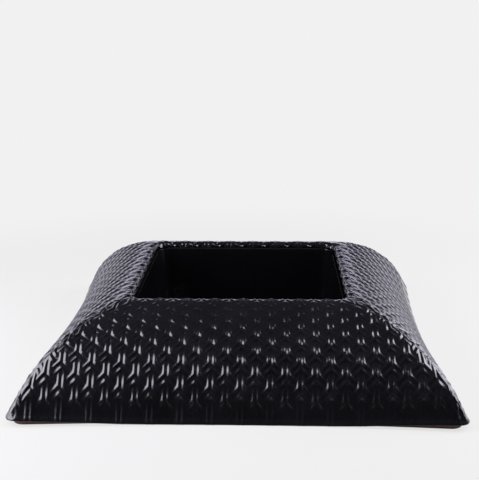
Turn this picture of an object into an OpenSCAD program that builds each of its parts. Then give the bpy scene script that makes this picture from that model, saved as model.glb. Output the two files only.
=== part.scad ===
// Low square flower pot: four embossed panels over a carcass, with a lift-out liner.
// Origin on the ground under the middle of the pot, +Z up, front towards -Y, millimetres.

/* [Cover] */
// Width of one side from corner tip to corner tip
cover_width = 400; // [340:5:520]
// Height of the rim's crest above the ground
cover_height = 86; // [76:1:120]
// Width across the crest of the rim
crest_width = 212; // [190:1:240]
// Thickness of the moulded panels
panel_wall = 3; // [2:0.1:3.5]
// How far the foot of each side is drawn in at its middle
side_bow = 7.3; // [0:0.1:10]
// How the side swells outward: 1 is elliptic, more is flatter
swell_exponent = 1.22; // [1:0.01:1.4]
// How the side rises: 1 is elliptic, more leans the foot inward
rise_exponent = 1.4; // [1:0.01:1.5]
// Radius of the corner ridges, seen from above
ridge_radius = 10; // [8:0.1:13]
// Gap between the lip and the ground at the middle of a side
lip_gap = 0.5; // [0.2:0.1:1]
// Extra height of the lip at the corner tips
corner_lift = 4; // [0:0.1:5]

/* [Rim] */
// Width of the rolled rim inside its crest
roll_width = 4.5; // [4:0.1:8]
// Drop of the rolled rim from its crest to its inner edge
roll_drop = 6; // [4.5:0.1:9]
// Corner radius of the opening at the rim's inner edge
opening_radius = 14; // [10:0.5:24]

/* [Liner] */
// Wall thickness of the liner
liner_wall = 2.5; // [1.5:0.1:4]
// Thickness of the liner's floor
liner_floor = 2.5; // [1.5:0.1:4]
// How much each wall leans in from its top to the floor
liner_taper = 6.8; // [2:0.1:12]
// How far the liner's top lies below the rim's inner edge
liner_drop = 0.5; // [0.2:0.1:3]

/* [Carcass] */
// Thickness of the base board
board_thick = 6; // [4:0.5:9]
// Corner radius of the base board
board_radius = 10; // [9:1:30]
// Diameter of the drain hole in the base board
board_drain_d = 22; // [18:1:30]
// Thickness of the four boards round the well
well_board_thick = 9; // [8:0.5:15]
// Thickness of the ribs and of the corner hips
rib_thick = 9; // [8:0.5:12]
// Ribs under each panel
rib_count = 3; // [1:1:5]
// Spacing of the ribs along a side
rib_spacing = 50; // [30:1:52]

/* [Drain plug] */
// Diameter of the drain hole in the liner
drain_d = 12; // [8:0.5:14]
// Diameter of the plug's flange
plug_flange_d = 22; // [18:0.5:30]
// Thickness of the plug's flange
plug_flange_thick = 2; // [1:0.1:4]
// Diameter of the plug's grip
plug_grip_d = 8; // [5:0.5:12]
// Height of the plug's grip above its flange
plug_grip_height = 5; // [3:0.5:10]

/* [Screws] */
// Shank diameter of the base screws
screw_d = 4; // [3:0.1:4.5]
// Head diameter of the base screws
screw_head_d = 7.6; // [6.5:0.1:8]
// Height of the cone of the countersunk head
screw_head_height = 2.2; // [1.5:0.1:2.6]
// Height of the straight edge of the head
screw_head_edge = 0.4; // [0.2:0.1:0.8]
// Overall length of the base screws
screw_length = 30; // [20:1:40]
// Spacing of the two screws in each well board
screw_spacing = 130; // [80:1:150]
// Distance of each hip's screw from the well's corner
hip_screw_inset = 35; // [20:1:45]

/* [Clearances] */
// Glue gap between the panels and the carcass
glue_gap = 0.3; // [0.2:0.05:0.6]
// Gap between the liner and the rim's inner edge
liner_gap = 0.4; // [0.3:0.05:1]
// Gap between the liner's top and the well boards
well_gap = 1; // [0.6:0.1:2]
// Radial gap between the plug's stem and its hole
plug_gap = 0.05; // [0.02:0.01:0.1]
// Radial gap round the screws in their holes
screw_gap = 0.05; // [0.02:0.01:0.2]
// Depth of the screw heads below the board's underside
screw_sink = 0.4; // [0.2:0.1:0.8]

/* [Hidden] */
$fn = 48;
// Facet counts: steps up the side, round the roll, along the side and round half a corner
slope_steps = 12;
roll_steps = 4;
side_steps = 14;
corner_steps = 4;
// Power with which the lip lifts towards the tips
lift_power = 2.5;
// Power with which the ridge opens out into the rounder corner of the rim
ridge_power = 3;
// Smallest corner radius on an inner face
least_radius = 0.5;
// Overlap that carries a cut clean through a face
over = 1;
// Height of the thin slices between which the liner is drawn
slice = 0.05;

foot_half = cover_width / 2;
crest_half = crest_width / 2;
edge_half = crest_half - roll_width;
edge_z = cover_height - roll_drop;
inner_foot_half = foot_half - panel_wall;
inner_edge_half = edge_half + panel_wall;
inner_top = cover_height - panel_wall;

liner_top = edge_z - liner_drop;
liner_top_half = edge_half - liner_gap;
liner_floor_z = board_thick + liner_floor;
liner_lean = liner_taper / (liner_top - board_thick);

well_in = liner_top_half + well_gap;
well_out = well_in + well_board_thick;
well_corner = well_out * sqrt(2);
hip_start = well_corner + glue_gap;
hip_screw_at = well_corner + hip_screw_inset;

// Share of the outward swell left at angle t: 1 at the foot, 0 at the crest
function swell(t) = pow(cos(t), swell_exponent);

// Share of the height reached at angle t
function rise(t) = pow(sin(t), rise_exponent);

// Height of the lip at s, from -1 at one tip to 1 at the other
function lip(s) = lip_gap + corner_lift * pow(abs(s), lift_power);

// Outer corner radius seen from above, where the swell is k
function ridge(k) = ridge_radius + (opening_radius - ridge_radius) * pow(1 - k, ridge_power);

// A station of a panel is [half width, height, share of the lip's height, bow, corner radius].
// Station of the side at angle t, for a given foot, top and inward shift of the corner
function side_station(t, foot, top) =
    let (k = swell(t), half = crest_half + (foot - crest_half) * k)
    let (shift = (foot_half - foot) * k)
    [half, top * rise(t), 1 - rise(t), side_bow * k, max(least_radius, ridge(k) - shift)];

// Station of the rolled rim at angle u, for a given inner edge and top
function roll_station(u, edge, top) =
    let (half = crest_half - (crest_half - edge) * sin(u), shift = (edge - edge_half) * sin(u))
    [half, top - (top - edge_z) * (1 - cos(u)), 0, 0, opening_radius + shift];

// All stations of one face, from the foot over the crest to the inner edge
function stations(foot, edge, top) = concat(
    [for (i = [0:slope_steps]) side_station(90 * i / slope_steps, foot, top)],
    [for (i = [1:roll_steps]) roll_station(90 * i / roll_steps, edge, top)]
);

// Front quarter of a station's outline as [x, y, s], from one mitre to the other
function outline(st) =
    let (r = st[4], m = st[0] - r, bow = st[3], a = atan(2 * bow / m))
    let (x_end = m - r * sin(a), y_end = m + r * cos(a))
    let (arc = [for (i = [corner_steps:-1:1]) let (f = -a + (45 + a) * i / corner_steps) [sin(f), cos(f)]])
    concat(
        [for (p = arc) [-m - r * p[0], -m - r * p[1], -1]],
        [for (i = [0:side_steps]) let (s = 2 * i / side_steps - 1) [x_end * s, -y_end + bow * (1 - s * s), s]],
        [for (i = [corner_steps - 1:-1:0]) [m + r * arc[i][0], -m - r * arc[i][1], 1]]
    );

// Points of one face of a panel, row by row
function face_points(rows) = [
    for (st = rows)
    for (p = outline(st))
    [p[0], p[1], st[1] + st[2] * lip(p[2])]
];

// The inner surface at angle t in a rib's own plane, as [distance out, height]; s is the rib's place on the side
function rib_point(t, s) =
    let (st = side_station(t, inner_foot_half, inner_top))
    [st[0] - st[3] * (1 - s * s) - glue_gap, st[1] + st[2] * lip(s) - glue_gap];

// The inner surface at angle t under a mitre, low enough for both edges of the hip
function hip_point(t) =
    let (st = side_station(t, inner_foot_half, inner_top))
    [(st[0] - st[4]) * sqrt(2) + st[4] - rib_thick / 2 - glue_gap, st[1] + st[2] * lip(1) - glue_gap];

// The angle at which the inner surface is as high as the board's top
board_angle = asin(pow((board_thick - lip_gap) / (inner_top - lip_gap), 1 / rise_exponent));
board_swell = swell(board_angle);
board_reach = crest_half + (inner_foot_half - crest_half) * board_swell - glue_gap;
board_bow = side_bow * board_swell;
// The board's rounder corners end its sides sooner, so it keeps this share of the panel's bow
board_share = pow(1 - board_radius / board_reach, 2);
board_half = board_reach - board_bow * (1 - board_share);

// Outline of the base board, one side after the other
board_side = outline([board_half, 0, 0, board_bow * board_share, board_radius]);
board_points = [
    for (q = [0:3])
    for (i = [0:len(board_side) - 2])
    let (p = board_side[i])
    [p[0] * cos(90 * q) - p[1] * sin(90 * q), p[0] * sin(90 * q) + p[1] * cos(90 * q)]
];

// Places of the screws in the board
screw_places = concat(
    [for (q = [0:3]) for (e = [-1, 1]) [90 * q, e * screw_spacing / 2, (well_in + well_out) / 2]],
    [for (q = [0:3]) [90 * q + 45, 0, hip_screw_at]]
);

// Puts its children at every screw's place
module at_screws() {
    for (p = screw_places) rotate([0, 0, p[0]]) translate([p[1], -p[2], 0]) children();
}

// A screw with its head down, or the hole that takes it when gap is more than 0
module screw(gap, sink, length) {
    head_r = screw_head_d / 2 + gap;
    shank_r = screw_d / 2 + gap;
    low = gap > 0 ? -over : sink;
    cone_z = sink + screw_head_edge;
    rotate_extrude() polygon([
        [0, low],
        [head_r, low],
        [head_r, cone_z],
        [shank_r, cone_z + screw_head_height],
        [shank_r, length],
        [0, length]
    ]);
}

// All screws, or all their holes
module screw_holes() {
    at_screws() screw(screw_gap, screw_sink, screw_sink + screw_length + screw_gap);
}

// Brown board on which everything stands
module base_board() {
    color("#4a3a30")
    difference() {
        linear_extrude(board_thick) polygon(board_points);
        translate([0, 0, -over]) cylinder(d = board_drain_d, h = board_thick + 2 * over);
        screw_holes();
    }
}

// Upright board round the well: the front and back ones run past the side ones
module well_board(quarter) {
    half = quarter % 2 == 0 ? well_out : well_in;
    color("#b08a5c")
    difference() {
        rotate([0, 0, 90 * quarter])
        translate([-half, -well_out, board_thick])
        cube([2 * half, well_board_thick, edge_z - board_thick]);
        screw_holes();
    }
}

// Upright slice below a profile, from a given distance out and from the board's top upward
module slice_below(points, start) {
    far = foot_half * 2;
    intersection() {
        translate([0, rib_thick / 2, 0])
        rotate([90, 0, 0])
        linear_extrude(rib_thick) polygon(concat([[0, 0]], points));
        translate([start, -rib_thick, board_thick]) cube([far, 2 * rib_thick, cover_height]);
    }
}

// Ribs under one panel
module ribs(quarter) {
    color("#b08a5c")
    rotate([0, 0, 90 * quarter])
    for (i = [0:rib_count - 1]) {
        x = (i - (rib_count - 1) / 2) * rib_spacing;
        s = abs(x) / (foot_half - ridge_radius);
        points = [for (j = [0:slope_steps]) rib_point(90 * j / slope_steps, s)];
        translate([x, 0, 0]) rotate([0, 0, -90]) slice_below(points, well_out);
    }
}

// Hip under one mitre
module hip(quarter) {
    points = [for (j = [0:slope_steps]) hip_point(90 * j / slope_steps)];
    color("#b08a5c")
    difference() {
        rotate([0, 0, 90 * quarter - 45]) slice_below(points, hip_start);
        screw_holes();
    }
}

// Countersunk screws from below
module base_screws() {
    color("#9a9a98") at_screws() screw(0, screw_sink, screw_sink + screw_length);
}

// One moulded side, from one mitre to the other
module panel(quarter) {
    outer = stations(foot_half, edge_half, cover_height);
    inner = stations(inner_foot_half, inner_edge_half, inner_top);
    rows = len(outer);
    cols = len(outline(outer[0]));
    last = rows - 1;
    end = cols - 1;
    back = rows * cols;
    function at(i, j) = i * cols + j;
    quads = concat(
        [for (i = [0:last - 1]) for (j = [0:end - 1]) [at(i, j), at(i + 1, j), at(i + 1, j + 1), at(i, j + 1)]],
        [
            for (i = [0:last - 1])
            for (j = [0:end - 1])
            [back + at(i, j), back + at(i, j + 1), back + at(i + 1, j + 1), back + at(i + 1, j)]
        ],
        [for (j = [0:end - 1]) [at(0, j), at(0, j + 1), back + at(0, j + 1), back + at(0, j)]],
        [for (j = [0:end - 1]) [at(last, j + 1), at(last, j), back + at(last, j), back + at(last, j + 1)]],
        [for (i = [0:last - 1]) [at(i + 1, 0), at(i, 0), back + at(i, 0), back + at(i + 1, 0)]],
        [for (i = [0:last - 1]) [at(i, end), at(i + 1, end), back + at(i + 1, end), back + at(i, end)]]
    );
    triangles = [for (q = quads) each [[q[0], q[1], q[2]], [q[0], q[2], q[3]]]];
    color("#1c1c1e")
    rotate([0, 0, 90 * quarter])
    polyhedron(points = concat(face_points(outer), face_points(inner)), faces = triangles);
}

// Half width of the liner's outside at height z
function liner_half(z) = liner_top_half - liner_lean * (liner_top - z);

// Square with round corners
module round_square(half, radius) {
    inset = half - radius;
    for (x = [-inset, inset]) for (y = [-inset, inset]) translate([x, y]) circle(radius, $fn = 32);
}

// Box that widens upward, shrunk by a wall
module tapered_box(low, high, wall) {
    hull() {
        translate([0, 0, low])
        linear_extrude(slice) round_square(liner_half(low) - wall, opening_radius - liner_gap - wall);
        translate([0, 0, high - slice])
        linear_extrude(slice) round_square(liner_half(high) - wall, opening_radius - liner_gap - wall);
    }
}

// Smooth lift-out well with a drain hole in its floor
module liner() {
    color("#0c0c0d")
    difference() {
        tapered_box(board_thick, liner_top, 0);
        tapered_box(liner_floor_z, liner_top + over, liner_wall);
        translate([0, 0, board_thick - over]) cylinder(d = drain_d, h = liner_floor + 2 * over);
    }
}

// Bung with a stem flush under the liner, a flange on the liner's floor and a grip to pull it by
module drain_plug() {
    stem_r = drain_d / 2 - plug_gap;
    flange_top = liner_floor_z + plug_flange_thick;
    color("#2a2a2c")
    rotate_extrude() polygon([
        [0, board_thick],
        [stem_r, board_thick],
        [stem_r, liner_floor_z],
        [plug_flange_d / 2, liner_floor_z],
        [plug_flange_d / 2, flange_top],
        [plug_grip_d / 2, flange_top],
        [plug_grip_d / 2, flange_top + plug_grip_height],
        [0, flange_top + plug_grip_height]
    ]);
}

base_board();
well_board(0);  // front_well_board
well_board(1);  // right_well_board
well_board(2);  // back_well_board
well_board(3);  // left_well_board
ribs(0);  // front_ribs
ribs(1);  // right_ribs
ribs(2);  // back_ribs
ribs(3);  // left_ribs
hip(0);  // front_right_hip
hip(1);  // back_right_hip
hip(2);  // back_left_hip
hip(3);  // front_left_hip
base_screws();
panel(0);  // front_panel
panel(1);  // right_panel
panel(2);  // back_panel
panel(3);  // left_panel
liner();
drain_plug();
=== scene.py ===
import logging
import math
from dataclasses import dataclass, field
from enum import Enum
from typing import Any, Callable, ClassVar, Dict, List, Optional, Sequence, Tuple, Union

import bpy
import numpy as np
from mathutils import Matrix, Vector
from mathutils.geometry import delaunay_2d_cdt


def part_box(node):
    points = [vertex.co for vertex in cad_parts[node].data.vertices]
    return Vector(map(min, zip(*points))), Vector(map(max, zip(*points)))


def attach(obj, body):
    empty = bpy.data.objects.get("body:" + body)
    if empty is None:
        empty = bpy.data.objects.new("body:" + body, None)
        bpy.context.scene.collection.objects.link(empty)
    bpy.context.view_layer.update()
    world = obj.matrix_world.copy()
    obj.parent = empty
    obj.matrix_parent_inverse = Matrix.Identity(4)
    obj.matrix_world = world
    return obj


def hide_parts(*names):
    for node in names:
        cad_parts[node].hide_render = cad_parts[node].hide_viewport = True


# Dresses the low square flower pot: embossed sides, gloss well, board, screws and plug in a plain studio.
# Sizes in the classes are millimetres in the shared frame; meshes are written in metres.

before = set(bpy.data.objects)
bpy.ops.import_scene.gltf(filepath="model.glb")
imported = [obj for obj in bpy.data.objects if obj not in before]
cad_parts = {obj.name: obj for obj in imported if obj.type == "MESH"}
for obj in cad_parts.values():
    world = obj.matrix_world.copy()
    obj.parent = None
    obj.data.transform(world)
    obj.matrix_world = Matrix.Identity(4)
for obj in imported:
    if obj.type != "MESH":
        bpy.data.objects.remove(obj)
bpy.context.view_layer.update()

LOG = logging.getLogger("flower_pot")
MM = 0.001
IMAGE_LONG_SIDE = 480
SENSOR_WIDTH = 36.0
QUARTER = math.pi / 2

Array = np.ndarray
Colour = Tuple[float, float, float, float]
Pair = Tuple[float, float]
Triple = Tuple[float, float, float]
Tones = Tuple[str, str]
Edge = Tuple[int, int]
Face = Tuple[int, ...]
Key = Union[str, int]
Source = Union[bpy.types.Node, bpy.types.NodeSocket]


def linear(code: str) -> Colour:
    """Turns an sRGB hex colour into linear RGBA.

    Args:
        code: Colour such as "#1a2b3c".

    Returns:
        Linear red, green, blue and an alpha of 1.
    """
    knee, slope, offset, power = 0.04045, 12.92, 0.055, 2.4
    parts = [int(code[i : i + 2], 16) / 255 for i in (1, 3, 5)]
    light = [p / slope if p <= knee else ((p + offset) / (1 + offset)) ** power for p in parts]
    return (light[0], light[1], light[2], 1.0)


def span(start: Pair, end: Pair = (0.0, 1.0)) -> Dict[Key, Any]:
    """Settings that turn the first pair of values into the second."""
    return dict(zip(("From Min", "From Max", "To Min", "To Max"), start + end))


def smooth(value: Array, start: float, reach: float) -> Array:
    """Smooth step from 0 at a start to 1 at a reach beyond it."""
    cut = np.clip((value - start) / reach, 0, 1)
    return cut * cut * (3 - 2 * cut)


def turned(points: Array, angle: float) -> Array:
    """Turns points about the upright axis.

    Args:
        points: Points, one row each.
        angle: Angle in radians.

    Returns:
        The turned points.
    """
    x, y, z = points.T
    cos, sin = math.cos(angle), math.sin(angle)
    return np.column_stack([x * cos - y * sin, x * sin + y * cos, z])


def ring(radius: Union[float, Array], bearing: Array, z: Union[float, Array]) -> Array:
    """Points at given radii, bearings and heights round the upright axis."""
    return np.column_stack([radius * np.cos(bearing), radius * np.sin(bearing), z + 0 * bearing])


def ring_faces(loops: int, count: int, closed: bool) -> List[Face]:
    """Faces of a body whose loops of points follow one another.

    Args:
        loops: Number of loops.
        count: Points in each loop.
        closed: Whether the last loop joins the first; otherwise both ends get a cap.

    Returns:
        Faces.
    """
    faces: List[Face] = []
    for loop in range(loops if closed else loops - 1):
        low, high = loop * count, (loop + 1) % loops * count
        for i in range(count):
            j = (i + 1) % count
            faces.append((low + i, low + j, high + j, high + i))
    if not closed:
        last = (loops - 1) * count
        faces += [tuple(reversed(range(count))), tuple(range(last, last + count))]
    return faces


def add_node(
    tree: bpy.types.NodeTree,
    kind: str,
    settings: Optional[Dict[Key, Any]] = None,
    links: Optional[Dict[Key, Source]] = None,
) -> bpy.types.Node:
    """Adds one node with its settings and links.

    Args:
        tree: Node tree that takes the node.
        kind: Blender's type name of the node, without its leading ShaderNode.
        settings: Values by input name, input number or property name.
        links: Output sockets to join, by input name or number; a node stands for its first output.

    Returns:
        The new node.
    """
    made = tree.nodes.new(f"ShaderNode{kind}")
    for key, value in (settings or {}).items():
        if isinstance(key, int) or key in made.inputs:
            made.inputs[key].default_value = value
        else:
            setattr(made, key, value)
    for key, source in (links or {}).items():
        output = source.outputs[0] if isinstance(source, bpy.types.Node) else source
        tree.links.new(output, made.inputs[key])
    return made


def new_material(name: str) -> Tuple[bpy.types.Material, bpy.types.NodeTree, bpy.types.NodeSocket]:
    """Starts a material with object coordinates.

    Args:
        name: Name of the material.

    Returns:
        The material, its node tree and the socket of object coordinates in metres.
    """
    material = bpy.data.materials.new(name)
    material.use_nodes = True
    tree = material.node_tree
    tree.nodes.clear()
    return material, tree, add_node(tree, "TexCoord").outputs["Object"]


def make_object(name: str, points: Array, faces: Sequence[Face], crease: float) -> bpy.types.Object:
    """Makes a smooth-shaded mesh object.

    Args:
        name: Name of the object and its mesh.
        points: Points in millimetres, one row each.
        faces: Point numbers of each face, counter-clockwise from outside.
        crease: Angle in degrees above which an edge stays sharp.

    Returns:
        The object, linked to the scene.
    """
    mesh = bpy.data.meshes.new(name)
    mesh.from_pydata((np.asarray(points) * MM).tolist(), [], [tuple(int(i) for i in face) for face in faces])
    mesh.shade_smooth()
    mesh.set_sharp_from_angle(angle=math.radians(crease))
    mesh.update()
    made = bpy.data.objects.new(name, mesh)
    bpy.context.scene.collection.objects.link(made)
    return made


def set_normals(piece: bpy.types.Object, normals: Array, faces: int) -> None:
    """Sets exact normals on the first faces of a piece; the others keep their own.

    Args:
        piece: Object whose mesh takes the normals.
        normals: One normal for each of the mesh's first points.
        faces: Number of faces that take them.
    """
    mesh = piece.data
    corners = np.zeros(len(mesh.loops), dtype=np.int32)
    mesh.loops.foreach_get("vertex_index", corners)
    given = sum(mesh.polygons[number].loop_total for number in range(faces))
    exact = np.zeros((len(corners), 3))
    exact[:given] = normals[corners[:given]]
    mesh.normals_split_custom_set(exact.tolist())


def dress(piece: bpy.types.Object, material: bpy.types.Material) -> None:
    """Puts one material in every slot of a piece.

    Args:
        piece: Object to dress.
        material: Material that it gets.
    """
    if not piece.data.materials:
        piece.data.materials.append(material)
    for slot in piece.material_slots:
        slot.material = material


class Side(Enum):
    """The four sides of the cover, by their number of quarter turns from the front."""

    FRONT = 0
    RIGHT = 1
    BACK = 2
    LEFT = 3

    @property
    def label(self) -> str:
        """The side's word in the names of its pieces."""
        return self.name.lower()

    @property
    def angle(self) -> float:
        """Turn from the front to this side, in radians."""
        return self.value * QUARTER


class Slot(Enum):
    """Names of the record's material slots; nothing in this script uses them."""

    RESIN = "embossed_resin"
    LINER = "gloss_liner"
    STEEL = "screw_steel"
    RUBBER = "plug_rubber"


@dataclass(frozen=True)
class Pattern:
    """A procedural pattern whose cell has a real size in millimetres."""

    size: float
    settings: Dict[Key, Any] = field(default_factory=dict)
    stretch: Optional[Triple] = None
    kind: str = "TexNoise"
    output: str = "Fac"

    def add(self, tree: bpy.types.NodeTree, place: Source) -> bpy.types.NodeSocket:
        """Adds the pattern to a material.

        Args:
            tree: Node tree that takes its nodes.
            place: Object coordinates in metres.

        Returns:
            Socket of the pattern's value.
        """
        if self.stretch:
            place = add_node(tree, "Mapping", {"Scale": self.stretch}, {"Vector": place})
        cells = {"Scale": 1 / (self.size * MM), **self.settings}
        return add_node(tree, self.kind, cells, {"Vector": place}).outputs[self.output]


class Join(Enum):
    """How a second pattern joins the first, by the input that it takes on a multiply-add node."""

    TIMES = 1
    PLUS = 2


@dataclass(frozen=True)
class Finish:
    """What the finishes share: two tones over a pattern, a shine and a fine relief."""

    name: str
    tones: Tones
    pattern: Pattern
    # Values of the pattern at the two tones
    tone_places: Pair
    # Second pattern in the tones, how it joins the first, and the first one's weight where it is added
    overlay: Optional[Pattern] = None
    join: Join = Join.TIMES
    weight: float = 1.0
    # Roughness where it varies, the pattern's values at both ends, and a pattern of its own
    roughness: Optional[Pair] = None
    rough_places: Pair = (0.3, 0.7)
    smudge: Optional[Pattern] = None
    # Fine relief of the skin, with the bump's strength and its depth in millimetres
    skin: Optional[Pattern] = None
    skin_strength: float = 0.4
    skin_depth: float = 0.05
    # Values of the shader's own sockets
    shine: ClassVar[Dict[Key, float]] = {}

    def build(self) -> bpy.types.Material:
        """Builds the material.

        Returns:
            The material.
        """
        material, tree, place = new_material(self.name)
        value: Source = self.pattern.add(tree, place)
        if self.overlay:
            sources = {0: value, self.join.value: self.overlay.add(tree, place)}
            value = add_node(tree, "Math", {"operation": "MULTIPLY_ADD", 1: self.weight, 2: 0.0}, sources)
        spread = add_node(tree, "MapRange", span(self.tone_places), {"Value": value})
        # Inputs 6 and 7 are the two colours of a colour mix, and output 2 is its result.
        colours = {"data_type": "RGBA", 6: linear(self.tones[0]), 7: linear(self.tones[1])}
        tone = add_node(tree, "Mix", colours, {"Factor": spread}).outputs[2]
        links: Dict[Key, Source] = {"Base Color": tone}
        if self.roughness:
            cloud = self.smudge.add(tree, place) if self.smudge else value
            varied = span(self.rough_places, self.roughness)
            links["Roughness"] = add_node(tree, "MapRange", varied, {"Value": cloud})
        if self.skin:
            relief = {"Strength": self.skin_strength, "Distance": self.skin_depth * MM}
            links["Normal"] = add_node(tree, "Bump", relief, {"Height": self.skin.add(tree, place)})
        if "Coat Weight" in self.shine:
            links.update({"Coat Roughness": links["Roughness"], "Coat Normal": links["Normal"]})
        shader = add_node(tree, "BsdfPrincipled", self.shine, links)
        add_node(tree, "OutputMaterial", links={"Surface": shader})
        return material


@dataclass(frozen=True)
class EmbossedAbs(Finish):
    """Black ABS sheet under a thin clear acrylic film, embossed and then vacuum formed."""

    # Sheet and film both shine, so the flanks carry sharp lights on a deep black, clouded a little.
    name: str = "embossed_abs_black"
    tones: Tones = ("#040407", "#0b0b10")
    pattern: Pattern = Pattern(38.0, {"Detail": 3.0, "Roughness": 0.6})
    tone_places: Pair = (0.35, 0.8)
    roughness: Pair = (0.18, 0.24)
    # The sheet's skin has a fine pebble; it is drawn coarse enough to break the lights.
    skin: Pattern = Pattern(0.9)
    skin_strength: float = 0.2
    skin_depth: float = 0.02
    shine: ClassVar[Dict[Key, float]] = {"IOR": 1.54, "Coat Weight": 1.0, "Coat IOR": 1.49}


@dataclass(frozen=True)
class GlossPolystyrene(Finish):
    """Black high-gloss polystyrene, drawn over a polished mould."""

    # It mirrors softly, with smudges, faint upright draw marks and a few specks of dust.
    name: str = "gloss_polystyrene_black"
    tones: Tones = ("#0d0d0f", "#6a6a6c")
    # Specks of 0.35 mm lie about 26 mm apart.
    pattern: Pattern = Pattern(26.0, kind="TexVoronoi", output="Distance")
    tone_places: Pair = (0.35 / 26.0, 0.35 / 26.0 / 2)
    roughness: Pair = (0.07, 0.16)
    rough_places: Pair = (0.35, 0.7)
    smudge: Pattern = Pattern(55.0, {"Detail": 4.0})
    # Draw marks run up the walls, so the noise is stretched along Z.
    skin: Pattern = Pattern(9.0, stretch=(1.0, 1.0, 0.06))
    skin_strength: float = 0.25
    shine: ClassVar[Dict[Key, float]] = {"IOR": 1.5}


@dataclass(frozen=True)
class BrownHardboard(Finish):
    """Pressed hardboard, stained brown."""

    # Short pressed fibres mottle it, and it takes no shine.
    name: str = "pressed_hardboard_brown"
    tones: Tones = ("#5c453c", "#75594d")
    # Fibres are 1.6 mm wide and 9 mm long.
    pattern: Pattern = Pattern(1.6, {"Detail": 5.0, "Roughness": 0.65}, (1.6 / 9.0, 1.0, 1.0))
    tone_places: Pair = (0.12, 0.42)
    overlay: Pattern = Pattern(24.0, {"Detail": 3.0})
    skin: Pattern = pattern
    skin_depth: float = 0.15
    shine: ClassVar[Dict[Key, float]] = {"Roughness": 0.78, "IOR": 1.45}


@dataclass(frozen=True)
class BirchPlywood(Finish):
    """Birch plywood, sawn and sanded; raw, or near-black as painted shade."""

    # Light and dark bands of the peeled veneer cross it, and long grain streaks each face.
    name: str = "birch_plywood"
    tones: Tones = ("#9a7448", "#c9a878")
    # The bands lie 19 mm apart along each axis: a diagonal wave repeats after 0.63 of its cell.
    pattern: Pattern = Pattern(
        30.0, {"bands_direction": "DIAGONAL", "Distortion": 0.4, "Detail": 1.0}, kind="TexWave"
    )
    tone_places: Pair = (0.3, 0.9)
    # Grain is 2.2 mm wide and 40 mm long.
    overlay: Pattern = Pattern(2.2, {"Detail": 4.0}, (1.0, 1.0, 2.2 / 40.0))
    join: Join = Join.PLUS
    weight: float = 0.35
    skin: Pattern = overlay
    skin_strength: float = 0.3
    skin_depth: float = 0.1
    shine: ClassVar[Dict[Key, float]] = {"Roughness": 0.65, "IOR": 1.5}


@dataclass(frozen=True)
class ZincPlatedSteel(Finish):
    """Cold-headed steel, zinc plated."""

    # The plating is bright, with a dull bloom in patches.
    name: str = "zinc_plated_steel"
    tones: Tones = ("#b4b3ad", "#8d8c88")
    pattern: Pattern = Pattern(2.5, {"Detail": 3.0})
    tone_places: Pair = (0.35, 0.7)
    roughness: Pair = (0.28, 0.48)
    shine: ClassVar[Dict[Key, float]] = {"Metallic": 1.0}


@dataclass(frozen=True)
class MouldedRubber(Finish):
    """Black EPDM rubber, moulded."""

    # It is dull, with a grey bloom and a fine grit from the mould.
    name: str = "moulded_epdm_black"
    tones: Tones = ("#141415", "#222223")
    pattern: Pattern = Pattern(4.0, {"Detail": 3.0})
    tone_places: Pair = (0.35, 0.75)
    skin: Pattern = Pattern(0.5)
    shine: ClassVar[Dict[Key, float]] = {"Roughness": 0.62, "IOR": 1.5}


@dataclass(frozen=True)
class Stations:
    """Shape of the cover's outline at many points up its profile, in millimetres."""

    height: Array
    lip_share: Array
    bow: Array
    radius: Array
    # Distance of the corner arc's centre from the axes, and slant of the bowed side where the arc begins
    middle: Array
    tilt: Array
    # Place along the side where the corner arc begins, and length of half the outline, up to the mitre
    side_end: Array
    run_end: Array


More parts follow.
